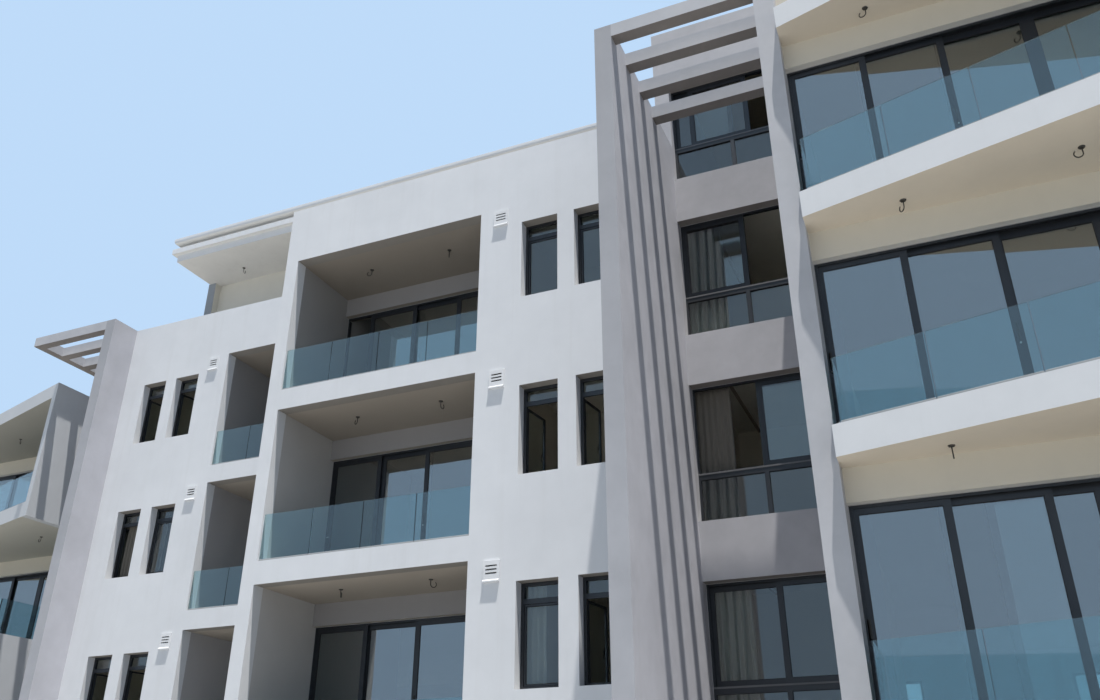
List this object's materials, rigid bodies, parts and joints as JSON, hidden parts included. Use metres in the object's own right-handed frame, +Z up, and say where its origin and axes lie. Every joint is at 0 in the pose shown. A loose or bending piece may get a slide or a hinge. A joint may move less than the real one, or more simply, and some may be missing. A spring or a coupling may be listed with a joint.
{
  "type": "apartment block",
  "caption": "Apartment block with stepped white wings, recessed loggias, slanted glass-railed balconies, grey fins with roof pergolas and a set-back penthouse.",
  "frame": {"origin": "middle of the block's outline, at the foot of its plinth", "axes": "+X along the front from left to right, +Y from the street front into the building, +Z up"},
  "size_m": [32.795, 18.1836, 16.8],
  "materials": {
    "white_render": "rendered and painted white",
    "grey_render": "rendered and painted warm grey",
    "cream_soffit": "painted ceiling",
    "concrete": "cast concrete",
    "dark_frame": "powder coated anthracite",
    "window_glass": "tinted float glass",
    "rail_glass": "clear toughened glass, green edges",
    "vent_plastic": "white louvre"
  },
  "bodies": {
    "root": {"bay_window_frames": "dark_frame", "bay_window_glass": "window_glass", "corner_wall": "white_render", "floor_slab_1": "concrete", "floor_slab_2": "concrete", "floor_slab_3": "concrete", "left_balcony_balustrade": "rail_glass", "left_balcony_door_glass": "window_glass", "left_balcony_doors": "dark_frame", "left_balcony_slabs": "white_render", "left_bay_wall": "grey_render", "left_block_front_wall": "white_render", "left_loggia_balustrade": "rail_glass", "left_loggia_door_glass": "window_glass", "left_loggia_doors": "dark_frame", "left_party_wall": "white_render", "left_pergola_beams": "grey_render", "left_pergola_leg": "grey_render", "left_wing_front_wall": "white_render", "loggia_ceilings": "cream_soffit", "loggia_walls": "white_render", "penthouse_roof": "white_render", "penthouse_walls": "white_render", "penthouse_window_frames": "dark_frame", "penthouse_window_glass": "window_glass", "plinth": "concrete", "rear_wall": "white_render", "rear_window_frames": "dark_frame", "rear_window_glass": "window_glass", "right_balcony_balustrade": "rail_glass", "right_balcony_door_glass": "window_glass", "right_balcony_doors": "dark_frame", "right_balcony_slabs": "white_render", "right_bay_wall": "grey_render", "right_block_front_wall": "white_render", "right_loggia_balustrade": "rail_glass", "right_loggia_door_glass": "window_glass", "right_loggia_doors": "dark_frame", "right_party_wall": "white_render", "right_pergola_beams": "grey_render", "right_pergola_leg": "grey_render", "right_wing_front_wall": "white_render", "roof_copings": "white_render", "roof_deck": "concrete", "stair_tower": "grey_render", "tall_fin": "grey_render", "wall_vents": "vent_plastic", "white_fins": "white_render", "wing_window_frames": "dark_frame", "wing_window_glass": "window_glass"}
  },
  "joints": []
}
